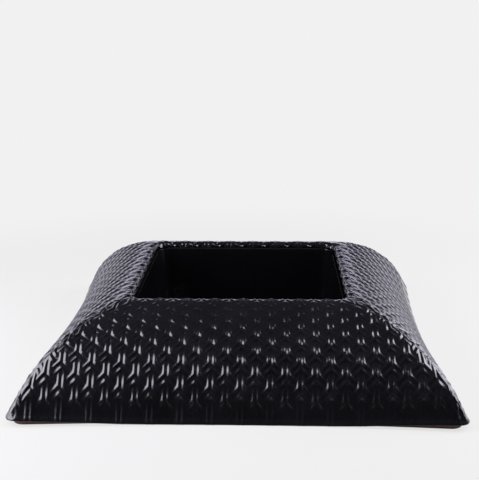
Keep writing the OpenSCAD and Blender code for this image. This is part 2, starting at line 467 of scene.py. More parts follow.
@dataclass(frozen=True)
class CoverForm:
    """Curved form of the cover, as the solids have it, with a lip that is a little higher near the tips."""

    foot_half: float
    top: float
    crest_half: float = 106.0
    wall: float = 3.0
    side_bow: float = 7.3
    swell_exponent: float = 1.22
    rise_exponent: float = 1.4
    ridge_radius: float = 10.0
    opening_radius: float = 14.0
    ridge_power: float = 3.0
    lip_gap: float = 0.5
    corner_lift: float = 4.0
    lift_power: float = 2.5
    tip_lift: float = 1.2
    # Start and reach of the tips, as shares of half a side
    tip: Pair = (0.45, 0.4)
    roll_width: float = 4.5
    roll_drop: float = 6.0
    least_radius: float = 0.5

    def stations(self, climb: Array, inset: float) -> Stations:
        """Outline shapes at given places up the profile.

        Args:
            climb: Place up the profile: 0 at the foot, 1 at the crest and 2 at the rim's inner edge.
            inset: Depth below the outer face.

        Returns:
            One station per value of climb.
        """
        side = np.clip(climb, 0, 1) * QUARTER
        roll = np.clip(climb - 1, 0, 1) * QUARTER
        swell = np.clip(np.cos(side), 0, 1) ** self.swell_exponent
        rise = np.sin(side) ** self.rise_exponent
        foot = self.foot_half - inset
        top = self.top - inset
        edge = self.crest_half - self.roll_width + inset
        edge_z = self.top - self.roll_drop
        opening = self.opening_radius - self.ridge_radius
        ridge = self.ridge_radius + opening * (1 - swell) ** self.ridge_power
        half = self.crest_half + (foot - self.crest_half) * swell - (self.crest_half - edge) * np.sin(roll)
        height = top * rise - (top - edge_z) * (1 - np.cos(roll))
        radius = np.maximum(self.least_radius, ridge + inset * (np.sin(roll) - swell))
        middle = half - radius
        bow = self.side_bow * swell
        tilt = np.arctan(2 * bow / middle)
        side_end = middle - radius * np.sin(tilt)
        run_end = side_end + radius * (QUARTER / 2 + tilt)
        return Stations(height, 1 - rise, bow, radius, middle, tilt, side_end, run_end)

    def place(self, share: Array, climb: Array, inset: float) -> Array:
        """Points of the front side.

        Args:
            share: Place along the outline, from -1 at the left mitre to 1 at the right one.
            climb: Place up the profile, from 0 to 2.
            inset: Depth below the outer face.

        Returns:
            Points in millimetres, one row each.
        """
        at = self.stations(climb, inset)
        run = share * at.run_end
        away = np.abs(run) - at.side_end
        along = np.clip(run / at.side_end, -1, 1)
        heading = np.clip(away / at.radius, 0, QUARTER / 2 + at.tilt) - at.tilt
        on_arc = away > 0
        y_end = at.middle + at.radius * np.cos(at.tilt)
        x = np.where(on_arc, np.sign(run) * (at.middle + at.radius * np.sin(heading)), run)
        y = np.where(on_arc, -at.middle - at.radius * np.cos(heading), at.bow * (1 - along**2) - y_end)
        lip = self.lip_gap + self.corner_lift * np.abs(along) ** self.lift_power
        lip += self.tip_lift * smooth(np.abs(along), *self.tip)
        return np.column_stack([x, y, at.height + at.lip_share * lip])


@dataclass(frozen=True)
class Relief:
    """Interlocking three-armed pattern: three bent bars round every junction of a triangular lattice."""

    pitch: float = 26.08
    row_gap: float = 7.448
    column: float = -8.8
    first_row_length: float = 18.0
    depth: float = 1.09
    sunk: float = 0.46
    slant: float = 35.0
    arm_full: float = 2.0
    arm_end: float = 10.4
    # A leg that is drawn down to the foot is lower there
    leg_foot: float = -5.0
    leg_foot_share: float = 0.7
    # Distances from an arm's middle line, and the height of the bar there
    across: Tuple[float, ...] = (0.1, 0.35, 0.75, 1.5, 1.9, 2.2, 2.5, 2.9, 3.65, 4.05, 4.3)
    heights: Tuple[float, ...] = (0.0, 0.1, 0.306, 0.694, 0.9, 1.0, 0.9, 0.694, 0.306, 0.1, 0.0)
    # Distances along an arm at which its lines have points
    steps: Tuple[float, ...] = (3.6, 7.0, 10.4)

    @property
    def arms(self) -> Array:
        """Directions of the three arms, the first one up the slope."""
        angles = np.radians([90.0, 180.0 + self.slant, 360.0 - self.slant])
        return np.column_stack([np.cos(angles), np.sin(angles)])

    def cell(self) -> Tuple[Array, List[Edge]]:
        """Net of one junction, with lines along every bar.

        Returns:
            Points round the junction and the edges between them.
        """
        points: List[Array] = [np.zeros(2)]
        edges: List[Edge] = []
        arms = self.arms
        for number in range(3):
            arm, after = arms[number], arms[(number + 1) % 3]
            left = np.array([-arm[1], arm[0]])
            right = np.array([after[1], -after[0]])
            half = math.acos(float(arm @ after)) / 2
            for offset in self.across:
                corner = offset / math.tan(half)
                line = [arm * step + left * offset for step in reversed(self.steps)]
                line += [arm * corner + left * offset]
                line += [after * step + right * offset for step in self.steps]
                first = len(points)
                points += line
                edges += [(first + i, first + i + 1) for i in range(len(line) - 1)]
            first = len(points)
            points += [arm * step for step in self.steps]
            edges += [(0, first)] + [(first + i, first + i + 1) for i in range(len(self.steps) - 1)]
        return np.array(points), edges

    def drawn_cell(self, foot_rows: Sequence[float]) -> Tuple[Array, List[Edge]]:
        """Net of a junction at the foot, whose leg is drawn straight down.

        Args:
            foot_rows: Rows between the foot and the junction, counted up from the junction.

        Returns:
            Points round the junction and the edges between them.
        """
        rows = [*foot_rows, 0.0, *self.steps]
        points: List[Pair] = []
        edges: List[Edge] = []
        for offset in (0.0, *self.across, *(-offset for offset in self.across)):
            first = len(points)
            points += [(offset, row) for row in rows]
            edges += [(first + i, first + i + 1) for i in range(len(rows) - 1)]
        return np.array(points), edges

    def junctions(self, half: float, low: float, high: float, first_row: float) -> Array:
        """Junctions in a rectangle of the sheet.

        Args:
            half: Half the rectangle's width.
            low: Lowest row that is wanted.
            high: Highest row that is wanted.
            first_row: Height of the row that the pattern starts from.

        Returns:
            Junctions, one row each.
        """
        lowest = math.floor((low - first_row) / self.row_gap)
        highest = math.ceil((high - first_row) / self.row_gap)
        found = []
        for row in range(lowest, highest + 1):
            shift = self.column + (self.pitch / 2 if row % 2 else 0)
            first = math.ceil((-half - shift) / self.pitch)
            last = math.floor((half - shift) / self.pitch)
            height = first_row + self.row_gap * row
            found += [(shift + self.pitch * i, height) for i in range(first, last + 1)]
        return np.array(found)

    def height(self, points: Array, first_row: float, lower: Array) -> Array:
        """Height of the bars, from 0 to 1.

        Args:
            points: Places on the undrawn sheet.
            first_row: Height of the row that the pattern starts from.
            lower: Share of the full pattern at each place; the rest is legs drawn down to the foot.

        Returns:
            One height for each place.
        """
        best = np.zeros(len(points))
        arms = self.arms
        cell = np.array([self.pitch, 2 * self.row_gap])
        around = [(i, j) for i in (-1, 0, 1) for j in (-1, 0, 1)]
        for odd in (0, 1):
            origin = np.array([self.column + odd * self.pitch / 2, first_row + odd * self.row_gap])
            near = np.round((points - origin) / cell)
            for neighbour in around:
                centre = origin + (near + neighbour) * cell
                local = points - centre
                along = local @ arms.T
                arm = arms[np.argmax(along, axis=1)]
                reach = np.max(along, axis=1)
                off = np.abs(local[:, 0] * arm[:, 1] - local[:, 1] * arm[:, 0])
                bar = np.interp(off, self.across, self.heights, left=0.0, right=0.0)
                bar *= np.interp(reach, (self.arm_full, self.arm_end), (1.0, 0.0))
                leg = np.interp(np.abs(local[:, 0]), self.across, self.heights, left=0.0, right=0.0)
                leg_rows = (self.leg_foot, self.arm_full, self.arm_end)
                leg *= np.interp(local[:, 1], leg_rows, (self.leg_foot_share, 1.0, 0.0))
                leg *= (centre[:, 1] > 0) & (centre[:, 1] < self.row_gap)
                best = np.maximum(best, bar * lower + leg * (1 - lower))
        return best


@dataclass
class Net:
    """Points and lines on the flat sheet, cut into triangles."""

    points: List[Array] = field(default_factory=list)
    edges: List[Array] = field(default_factory=list)
    count: int = 0

    def add(self, points: Array, edges: Sequence[Edge] = ()) -> None:
        """Adds points and lines.

        Args:
            points: Points to add.
            edges: Edges between them, which number them from 0.
        """
        if len(edges):
            self.edges.append(np.asarray(edges, dtype=int) + self.count)
        self.points.append(np.asarray(points, dtype=float))
        self.count += len(points)

    def triangles(self) -> Tuple[Array, Array, List[List[int]]]:
        """Cuts the net into triangles that keep its lines.

        Returns:
            Points, triangles and the first numbers of each point.
        """
        points = [Vector(p) for p in np.concatenate(self.points)]
        whole_hull, least_gap = 0, 1e-5
        cut = delaunay_2d_cdt(points, np.concatenate(self.edges).tolist(), [], whole_hull, least_gap, True)
        return np.array([tuple(p) for p in cut[0]]), np.array(cut[2]), cut[3]


@dataclass
class EmbossedSkin:
    """One embossed side with its wall, drawn for the front and turned for the others."""

    form: CoverForm
    relief: Relief = field(default_factory=Relief)
    # The sheet is drawn thinner from a distance below the crest, more so with each millimetre
    stretch_below_crest: float = 38.4
    stretch_rate: float = 0.0108
    fine_points: int = 2401
    # Spacing of the mesh, and how far its lines run past the foot and its points stay off the border
    edge_step: float = 2.5
    mitre_step: float = 1.1
    corner_offsets: Tuple[float, ...] = (0.6, 1.2, 1.9, 2.7, 3.6, 4.8, 6.4, 8.4, 11.0)
    foot_offsets: Tuple[float, ...] = (0.15, 0.35, 0.65, 1.1, 1.8, 2.8)
    roll_step: float = 0.8
    roll_reach: float = 12.0
    inner_step: float = 12.0
    foot_overrun: float = 0.2
    border_gap: float = 0.12
    inner_gap: float = 1.0
    # Steps over which the normals of the plain form and of the embossed face are taken
    form_step: float = 0.02
    face_step: float = 0.25
    # Rounded edges, the flared foot, and how far the faces are drawn in and the ridges slimmer
    foot_round: float = 0.1
    rim_round: float = 0.3
    flare: float = 1.7
    flare_reach: float = 14.0
    drawn_in: float = 1.0
    drawn_in_reach: float = 25.0
    pinched: float = 1.0
    # Share of the relief at lengths up the side, up a ridge, and past the crest
    side_shares: Tuple[Pair, ...] = ((0.0, 0.4), (6.0, 0.6), (18.0, 0.88), (36.0, 1.0))
    ridge_shares: Tuple[Pair, ...] = ((0.0, 0.9), (40.0, 1.0))
    crest_shares: Tuple[Pair, ...] = ((-16.0, 1.0), (-6.0, 0.55), (-1.0, 0.6), (2.0, 1.0))
    # Plain strip along a mitre: its width at the foot, at a length above it, and at the crest
    strip_widths: Triple = (1.6, 1.3, 1.1)
    strip_length: float = 30.0
    # Start and reach of changes up the side
    full_pattern: Pair = (8.5, 14.0)
    full_ridge: Pair = (2.0, 5.0)
    ridge_rise: Pair = (0.0, 4.0)
    pinch_rise: Pair = (0.0, 6.0)
    pinch_end: Pair = (25.0, 40.0)
    # Start and reach of changes in from a mitre, and down from the rim's inner edge
    ridge_width: Pair = (6.0, 8.0)
    pinch_width: Pair = (0.0, 6.5)
    rim_fade: Pair = (0.0, 1.0)
    # Places up the middle of the side, the true length there, and the row there on the undrawn sheet
    climb: Array = field(init=False)
    lengths: Array = field(init=False)
    rows: Array = field(init=False)
    # Row of the rim's inner edge, true length up to the crest, and row that the pattern starts from
    end: float = field(init=False)
    crest: float = field(init=False)
    first_row: float = field(init=False)
    # Rows up the sheet's border, and half the sheet's width there
    border_rows: Array = field(init=False)
    border_runs: Array = field(init=False)

    def __post_init__(self) -> None:
        """Measures the side and the sheet's border."""
        self.climb = np.linspace(0, 2, self.fine_points)
        points = self.form.place(np.zeros_like(self.climb), self.climb, 0.0)
        steps = np.linalg.norm(np.diff(points, axis=0), axis=1)
        self.lengths = np.concatenate([[0.0], np.cumsum(steps)])
        self.crest = float(np.interp(1.0, self.climb, self.lengths))
        below = np.clip(self.crest - self.stretch_below_crest - self.lengths, 0, None)
        stretch = 1 + self.stretch_rate * below
        self.rows = np.concatenate([[0.0], np.cumsum(2 * steps / (stretch[1:] + stretch[:-1]))])
        self.end = float(self.rows[-1])
        self.first_row = float(np.interp(self.relief.first_row_length, self.lengths, self.rows))
        self.border_rows = np.linspace(0, self.end, int(self.end / self.mitre_step) + 1)
        self.border_runs = self.form.stations(self.climb_at(self.border_rows), 0.0).run_end

    def climb_at(self, row: Array) -> Array:
        """Place up the profile at given rows."""
        return np.interp(row, self.rows, self.climb)

    def run_end(self, row: Array) -> Array:
        """Half the sheet's width at given rows."""
        return np.interp(row, self.border_rows, self.border_runs)

    def inside(self, points: Array, margin: float) -> Array:
        """Tells which points lie on the sheet.

        Args:
            points: Places on the undrawn sheet.
            margin: Distance that they keep from its border.

        Returns:
            One truth value for each point.
        """
        row = points[:, 1]
        in_rows = (row > margin) & (row < self.end - margin)
        return in_rows & (np.abs(points[:, 0]) < self.run_end(row) - margin)

    def border(self) -> Array:
        """Closed border of the sheet.

        Returns:
            Points round the sheet, counter-clockwise from the left end of the foot.
        """
        foot, rim = float(self.border_runs[0]), float(self.border_runs[-1])
        foot_runs = np.linspace(-foot, foot, int(2 * foot / self.edge_step))[:-1]
        rim_runs = np.linspace(rim, -rim, int(2 * rim / self.edge_step))[:-1]
        up = np.column_stack([self.border_runs, self.border_rows])
        down = np.column_stack([-self.border_runs, self.border_rows])[::-1]
        low = np.column_stack([foot_runs, np.zeros_like(foot_runs)])
        high = np.column_stack([rim_runs, np.full_like(rim_runs, self.end)])
        return np.concatenate([low, up[:-1], high, down[:-1]])

    def outer_net(self) -> Net:
        """Net of the embossed face: its border, every bar, and points where the sheet bends.

        Returns:
            The net.
        """
        net = Net()
        border = self.border()
        net.add(border, [(i, (i + 1) % len(border)) for i in range(len(border))])
        full = self.relief.cell()
        foot = self.first_row - self.relief.row_gap
        drawn = self.relief.drawn_cell([row - foot for row in (-self.foot_overrun, *self.foot_offsets)])
        spread = self.relief.arm_end
        width = float(self.border_runs[0]) + spread
        for junction in self.relief.junctions(width, -spread, self.end + spread, self.first_row):
            if junction[1] < 0:
                continue
            cell, edges = drawn if junction[1] < self.relief.row_gap else full
            points = cell + junction
            kept = self.inside(points, 0.0)
            wanted = [edge for edge in edges if kept[edge[0]] or kept[edge[1]]]
            if wanted:
                used = sorted({number for edge in wanted for number in edge})
                place = {number: i for i, number in enumerate(used)}
                net.add(points[used], [(place[a], place[b]) for a, b in wanted])
        bends = self.bend_points()
        net.add(bends[self.inside(bends, self.border_gap)])
        return net

    def bend_points(self) -> Array:
        """Points beside both mitres, on the rolled rim and just above the foot, where the sheet bends.

        Returns:
            Places on the undrawn sheet.
        """
        found = []
        for offset in self.corner_offsets:
            runs = self.border_runs - offset
            found += [np.column_stack([way * runs, self.border_rows]) for way in (1, -1)]
        rolled = np.arange(self.end - self.roll_reach, self.end, self.roll_step)
        lines = [(row, float(self.run_end(row)), i % 2) for i, row in enumerate(rolled)]
        lines += [(offset, float(self.border_runs[0]), 0) for offset in self.foot_offsets]
        for row, half, odd in lines:
            runs = np.arange(-half + self.edge_step / 2 * odd, half, self.edge_step)
            found.append(np.column_stack([runs, np.full_like(runs, row)]))
        return np.concatenate(found)

    def lift(self, points: Array) -> Array:
        """Height of the embossed face above the plain form.

        Args:
            points: Places on the undrawn sheet.

        Returns:
            Heights in millimetres.
        """
        row = points[:, 1]
        length = np.interp(row, self.rows, self.lengths)
        from_rim = self.lengths[-1] - length
        back = self.run_end(row) - np.abs(points[:, 0])
        # The drawn sheet is thinner near the foot, and its relief is flatter there.
        strength = np.interp(length, *zip(*self.side_shares))
        lower = smooth(length, *self.full_pattern)
        # Along the ridges the whole pattern runs on to the tips.
        ridge = 1 - smooth(back, *self.ridge_width)
        lower = np.maximum(lower, ridge * smooth(length, *self.full_ridge))
        on_ridge = smooth(length, *self.ridge_rise) * np.interp(length, *zip(*self.ridge_shares))
        strength = np.maximum(strength, ridge * on_ridge)
        strip = np.interp(length, (0.0, self.strip_length, self.crest), self.strip_widths)
        strength *= smooth(back, 0.0, strip) * smooth(from_rim, *self.rim_fade)
        strength *= np.interp(length - self.crest, *zip(*self.crest_shares))
        relief = self.relief.depth * self.relief.height(points, self.first_row, lower) - self.relief.sunk
        flare = self.flare * np.clip(1 - length / self.flare_reach, 0, 1) ** 2
        rounded = self.round_off(length, self.foot_round) + self.round_off(from_rim, self.rim_round)
        hollow = self.drawn_in * smooth(self.crest - length, 0.0, self.drawn_in_reach)
        # The ridges are slimmer towards the tips, so the sides draw back from them.
        pinch = self.pinched * smooth(length, *self.pinch_rise) * (1 - smooth(length, *self.pinch_end))
        pinch *= smooth(back, *self.pinch_width)
        return strength * relief + flare - hollow - pinch - rounded

    @staticmethod
    def round_off(distance: Array, radius: float) -> Array:
        """Drop of a rounded edge at given distances from it."""
        into = np.clip(radius - distance, 0, radius)
        return radius - np.sqrt(radius**2 - into**2)

    def plain(self, points: Array, inset: float = 0.0) -> Array:
        """Points of the plain form.

        Args:
            points: Places on the undrawn sheet.
            inset: Depth below the outer face.

        Returns:
            Points in millimetres.
        """
        share = np.clip(points[:, 0] / self.run_end(points[:, 1]), -1, 1)
        return self.form.place(share, self.climb_at(points[:, 1]), inset)

    def embossed(self, points: Array) -> Array:
        """Points of the embossed face at places on the undrawn sheet."""
        outward = self.normals(self.plain, points, self.form_step)
        return self.plain(points) + outward * self.lift(points)[:, None]

    def normals(self, face: Callable[[Array], Array], points: Array, step: float) -> Array:
        """Normals of a face.

        Args:
            face: Function that turns places on the undrawn sheet into points of the face.
            points: Places on the undrawn sheet.
            step: Distance on the sheet, to each side, over which they are taken.

        Returns:
            Unit normals.
        """
        runs, rows = points.T
        end = self.run_end(rows)
        ahead = face(np.column_stack([np.clip(runs + step, -end, end), rows]))
        ahead -= face(np.column_stack([np.clip(runs - step, -end, end), rows]))
        high = np.clip(rows + step, 0, self.end)
        low = np.clip(rows - step, 0, self.end)
        upward = face(np.column_stack([runs * self.run_end(high) / end, high]))
        upward -= face(np.column_stack([runs * self.run_end(low) / end, low]))
        found = np.cross(ahead, upward)
        return found / np.linalg.norm(found, axis=1, keepdims=True)

    def kept(self, points: Array, triangles: Array) -> Array:
        """Triangles that lie on the sheet."""
        return triangles[self.inside(points[triangles].mean(axis=1), 0.0)]

    def build(self) -> Tuple[Array, List[Face], Array, int]:
        """Builds the front side as one closed shell.

        Returns:
            Points in millimetres, faces, normals of the first points, and the number of embossed faces.
        """
        flat, cut, _ = self.outer_net().triangles()
        cut = self.kept(flat, cut)
        used, numbers = np.unique(cut, return_inverse=True)
        flat, cut = flat[used], numbers.reshape(cut.shape)
        rim = self.open_edges(cut)
        edge_points = np.unique(rim)
        place = {int(number): i for i, number in enumerate(edge_points)}
        net = Net()
        net.add(flat[edge_points], [(place[int(a)], place[int(b)]) for a, b in rim])
        net.add(self.inner_points())
        back_flat, back_cut, origin = net.triangles()
        back_cut = self.kept(back_flat, back_cut)
        points = np.concatenate([self.embossed(flat), self.plain(back_flat, self.form.wall)])
        base = len(flat)
        at_back = {first: base + i for i, firsts in enumerate(origin) for first in firsts}
        faces: List[Face] = [tuple(t) for t in cut]
        faces += [(base + t[2], base + t[1], base + t[0]) for t in back_cut]
        faces += [(b, a, at_back[place[int(a)]], at_back[place[int(b)]]) for a, b in rim]
        return points, faces, self.normals(self.embossed, flat, self.face_step), len(cut)

    def inner_points(self) -> Array:
        """Points of the plain inner face, closer together on the rolled rim.

        Returns:
            Places on the undrawn sheet.
        """
        bend, step = self.end - self.roll_reach, self.inner_step / 2
        rows = [*np.arange(step, bend, step), *np.arange(bend, self.end, 2 * self.roll_step)]
        runs = np.arange(-self.form.foot_half, self.form.foot_half, self.inner_step)
        grid = np.array([(run, row) for row in rows for run in runs])
        return grid[self.inside(grid, self.inner_gap)]

    @staticmethod
    def open_edges(triangles: Array) -> Array:
        """Edges that only one triangle has.

        Args:
            triangles: Point numbers of each triangle.

        Returns:
            Two point numbers an edge, in the triangle's order.
        """
        edges = np.concatenate([triangles[:, [0, 1]], triangles[:, [1, 2]], triangles[:, [2, 0]]])
        known = {(int(a), int(b)) for a, b in edges}
        return np.array([edge for edge in edges.tolist() if (edge[1], edge[0]) not in known])


@dataclass
class Cover:
    """The four embossed sides, mitred at the corners."""

    skin: EmbossedSkin
    crease: float = 52.0
    finish: EmbossedAbs = field(default_factory=EmbossedAbs)

    def build(self) -> None:
        """Builds the four sides and puts them in place of their solids."""
        points, faces, normals, embossed = self.skin.build()
        material = self.finish.build()
        for side in Side:
            piece = make_object(f"{side.label}_embossed_side", turned(points, side.angle), faces, self.crease)
            set_normals(piece, turned(normals, side.angle), embossed)
            dress(piece, material)
            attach(piece, "cover")
            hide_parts(f"{side.label}_panel")
            LOG.info("%s: %d points, %d faces", piece.name, len(points), len(faces))


@dataclass
class GlossWell:
    """Smooth lift-out liner with round corners, a rounded lip, a filleted floor and a drain hole."""

    top: float
    floor_z: float
    top_half: float
    wall: float = 2.5
    floor: float = 2.5
    taper: float = 6.8
    corner_radius: float = 13.6
    drain_radius: float = 6.0
    drain_edge: float = 0.4
    heel_radius: float = 3.0
    fillet_radius: float = 5.0
    lip: float = 0.12
    # Shares at which loops lie: under the floor, up the outside, on the lip, down the inside, on the floor
    base_shares: Tuple[float, ...] = (0.0, 0.1, 0.3, 0.6, 0.85, 1.0)
    outer_shares: Tuple[float, ...] = (0.25, 0.5, 0.75, 1.0)
    fall_shares: Tuple[float, ...] = (0.1, 0.35, 0.65, 0.9, 1.0)
    inner_shares: Tuple[float, ...] = (0.02, 0.25, 0.5, 0.75, 1.0)
    floor_shares: Tuple[float, ...] = (0.15, 0.4, 0.7, 0.9, 1.0)
    # Width and drop of the lip's inner edge, as shares of the lip
    lip_section: Tuple[Pair, ...] = ((0.35, 0.0), (0.7, 0.05), (0.92, 0.35), (1.0, 1.0))
    side_steps: int = 12
    corner_steps: int = 12
    arc_steps: int = 6
    crease: float = 40.0
    finish: GlossPolystyrene = field(default_factory=GlossPolystyrene)

    def square(self, inset: float, z: float) -> Array:
        """Loop of a square with round corners.

        Args:
            inset: Distance in from the outside.
            z: Height.

        Returns:
            Points, counter-clockwise from above.
        """
        half = self.top_half - self.taper * (self.top - z) / (self.top - self.floor_z) - inset
        radius = self.corner_radius - inset
        middle = half - radius
        arc = ring(radius, np.linspace(-QUARTER, 0, self.corner_steps + 1), z) + (middle, -middle, 0.0)
        side = np.linspace(-middle, middle, self.side_steps + 1)[1:-1]
        quarter = np.concatenate([arc, np.column_stack([half + 0 * side, side, z + 0 * side])])
        return np.concatenate([turned(quarter, number * QUARTER) for number in range(4)])

    def section(self) -> List[Pair]:
        """Section of the wall, from the heel up the outside, over the lip and down to the floor.

        Returns:
            Distance in from the outside and height of each loop.
        """
        low, high, top = self.floor_z, self.floor_z + self.floor, self.top
        wall, heel, fillet, lip = self.wall, self.heel_radius, self.fillet_radius, self.lip
        arc = [QUARTER * step / self.arc_steps for step in range(1, self.arc_steps + 1)]
        fall, edge = wall - lip, lip / 3
        found = [(heel * (1 - math.sin(angle)), low + heel * (1 - math.cos(angle))) for angle in arc]
        found += [(0.0, low + heel + (top - fall - low - heel) * share) for share in self.outer_shares]
        # The lip falls away outward from a fine inner edge, so that no flat rim catches the light.
        for share in self.fall_shares:
            found.append((fall * share, top - edge - (fall - edge) * (1 - share)))
        for across, drop in self.lip_section:
            found.append((fall + lip * across, top - lip * drop))
        for share in self.inner_shares:
            found.append((wall, top - lip + (high + fillet - top + lip) * share))
        for angle in arc:
            found.append((wall + fillet * (1 - math.cos(angle)), high + fillet * (1 - math.sin(angle))))
        return found

    def loops(self) -> List[Array]:
        """Loops from the underside of the drain hole round the outside and down the inside.

        Returns:
            Loops of equal count.
        """
        low, high = self.floor_z, self.floor_z + self.floor
        base = self.square(self.heel_radius, low)
        inner_base = self.square(self.wall + self.fillet_radius, high)
        bearing = np.arctan2(base[:, 1], base[:, 0])
        hole_low = ring(self.drain_radius, bearing, low)
        hole_high = ring(self.drain_radius + self.drain_edge, bearing, high)
        found = [hole_low + (base - hole_low) * share for share in self.base_shares]
        found += [self.square(inset, z) for inset, z in self.section()]
        found += [inner_base + (hole_high - inner_base) * share for share in self.floor_shares]
        return [*found, ring(self.drain_radius, bearing, high - self.drain_edge)]

    def build(self) -> None:
        """Builds the liner and puts it in place of its solid."""
        loops = self.loops()
        faces = ring_faces(len(loops), len(loops[0]), True)
        piece = make_object("gloss_well", np.concatenate(loops), faces, self.crease)
        dress(piece, self.finish.build())
        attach(piece, "liner")
        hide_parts("liner")
        LOG.info("%s: %d faces", piece.name, len(faces))


@dataclass
class DrainBung:
    """Rubber bung with a rounded flange and a ribbed grip."""

    low: float
    seat: float
    top: float
    core_radius: float = 0.05
    stem_radius: float = 5.95
    stem_chamfer: float = 0.6
    flange_radius: float = 11.0
    flange: float = 2.0
    flange_seat: float = 0.4
    flange_land: float = 0.1
    neck: float = 0.9
    grip_radius: float = 4.0
    grip_round: float = 1.0
    grip_land: float = 0.2
    grip_ribs: int = 14
    rib_depth: float = 0.28
    rib_floor: float = -0.4
    flange_points: int = 7
    arc_points: int = 6
    segments: int = 112
    crease: float = 40.0
    finish: MouldedRubber = field(default_factory=MouldedRubber)

    def profile(self) -> List[Triple]:
        """Profile from the stem's foot to the grip's top.

        Returns:
            Radius, height and share of the ribs at each point.
        """
        stem, grip, cut, rounding = self.stem_radius, self.grip_radius, self.stem_chamfer, self.grip_round
        half, neck, flange_top = self.flange / 2, self.neck, self.seat + self.flange
        bulge = half - self.flange_land
        found = [(self.core_radius, self.low, 0.0), (stem - cut, self.low, 0.0), (stem, self.low + cut, 0.0)]
        found += [(stem, self.seat, 0.0), (self.flange_radius - self.flange_seat, self.seat, 0.0)]
        for angle in np.linspace(-QUARTER, QUARTER, self.flange_points):
            radius = self.flange_radius - bulge + bulge * math.cos(angle)
            found.append((radius, self.seat + half + half * math.sin(angle), 0.0))
        shares = np.linspace(0, 1, self.arc_points)
        arc = [(share, math.sin(QUARTER * share), math.cos(QUARTER * share)) for share in shares]
        for share, sin, cos in arc:
            found.append((grip + neck * (1 - sin), flange_top + neck * (1 - cos), share))
        found.append((grip, self.top - rounding - self.grip_land, 1.0))
        for share, sin, cos in arc[1:]:
            found.append((grip - rounding * (1 - cos), self.top - rounding + rounding * sin, 1 - share))
        return [*found, (self.core_radius, self.top, 0.0)]

    def build(self) -> None:
        """Builds the bung and puts it in place of its solid."""
        bearing = np.linspace(0, 2 * math.pi, self.segments, endpoint=False)
        wave = np.clip(np.cos(self.grip_ribs * bearing), self.rib_floor, 1.0)
        loops = [ring(r + self.rib_depth * ribs * (wave - 1.0), bearing, z) for r, z, ribs in self.profile()]
        faces = ring_faces(len(loops), self.segments, False)
        piece = make_object("drain_bung", np.concatenate(loops), faces, self.crease)
        dress(piece, self.finish.build())
        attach(piece, "plug")
        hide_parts("drain_plug")
        LOG.info("%s: %d faces", piece.name, len(faces))


@dataclass
class BaseScrews:
    """Countersunk screws with a cross recess, driven up through the board."""

    spacing: float = 130.0
    hip_inset: float = 35.0
    sink: float = 0.4
    head_radius: float = 3.8
    head_edge: float = 0.4
    edge_break: float = 0.15
    cone: float = 2.2
    shank_radius: float = 2.0
    length: float = 30.0
    thread_start: float = 0.2
    thread_pitch: float = 1.8
    thread_depth: float = 0.45
    point: float = 3.0
    point_radius: float = 0.7
    tip: float = 1.0
    tip_radius: float = 0.1
    arm_length: float = 2.1
    arm_half: float = 0.55
    recess: float = 1.5
    # Width and depth of the recess from its floor to its edge, as shares of the full ones
    recess_section: Tuple[Pair, ...] = ((0.45, 1.0), (0.9, 0.7), (1.0, 0.0))
    # Place in one turn of the thread, and share of its depth there
    thread_section: Tuple[Pair, ...] = ((0.15, 1.0), (0.5, 0.0), (0.85, 1.0))
    turn_step: float = 37.0
    segments: int = 48
    crease: float = 35.0
    finish: ZincPlatedSteel = field(default_factory=ZincPlatedSteel)

    def places(self) -> Array:
        """Places of the screws: two under each well board and one under each hip.

        Returns:
            Points in millimetres.
        """
        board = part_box("front_well_board")
        middle = (board[0].y + board[1].y) / 2 / MM
        corner = board[0].y / MM * math.sqrt(2) - self.hip_inset
        pair = np.array([(x, middle, 0.0) for x in (-self.spacing / 2, self.spacing / 2)])
        hip = np.array([(0.0, corner, 0.0)])
        found = [turned(pair, side.angle) for side in Side]
        return np.concatenate(found + [turned(hip, side.angle + QUARTER / 2) for side in Side])

    def cross(self, bearing: Array) -> Array:
        """Reach of the cross recess.

        Args:
            bearing: Angles round the screw, in radians.

        Returns:
            Distance from the middle to the edge on each bearing.
        """
        least = 1e-6
        cos, sin = np.maximum(np.abs(np.cos(bearing)), least), np.maximum(np.abs(np.sin(bearing)), least)
        lying = np.minimum(self.arm_length / cos, self.arm_half / sin)
        return np.maximum(lying, np.minimum(self.arm_length / sin, self.arm_half / cos))

    def screw(self) -> Tuple[Array, List[Face]]:
        """Builds one screw at the origin, its head down.

        Returns:
            Points in millimetres, and faces.
        """
        bearing = np.linspace(0, 2 * math.pi, self.segments, endpoint=False)
        cross = self.cross(bearing)
        head, sink, shank = self.head_radius, self.sink, self.shank_radius
        cone_z = sink + self.head_edge
        shank_z = cone_z + self.cone
        end_z = sink + self.length
        rows = [(cross * wide, sink + self.recess * deep) for wide, deep in self.recess_section]
        rows += [(head - self.edge_break, sink), (head, sink + self.edge_break)]
        rows += [(head, cone_z), (shank, shank_z)]
        turns = int((end_z - self.point - shank_z) / self.thread_pitch)
        lead = self.thread_pitch * bearing / (2 * math.pi)
        for turn in range(turns - 1):
            for share, depth in self.thread_section:
                height = shank_z + self.thread_start + self.thread_pitch * (turn + share) + lead
                rows.append((shank - self.thread_depth * depth, height))
        rows += [(self.point_radius, end_z - self.tip), (self.tip_radius, end_z)]
        loops = [ring(radius, bearing, z) for radius, z in rows]
        return np.concatenate(loops), ring_faces(len(loops), self.segments, False)

    def build(self) -> None:
        """Builds all screws as one piece in place of their solid."""
        points, faces = self.screw()
        places = self.places()
        all_points: List[Array] = []
        all_faces: List[Face] = []
        for number, place in enumerate(places):
            # Each screw stopped at its own angle.
            all_points.append(turned(points, math.radians(self.turn_step * number)) + place)
            all_faces += [tuple(number * len(points) + i for i in face) for face in faces]
        piece = make_object("countersunk_screws", np.concatenate(all_points), all_faces, self.crease)
        dress(piece, self.finish.build())
        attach(piece, "cover")
        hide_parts("base_screws")
        LOG.info("%s: %d screws", piece.name, len(places))


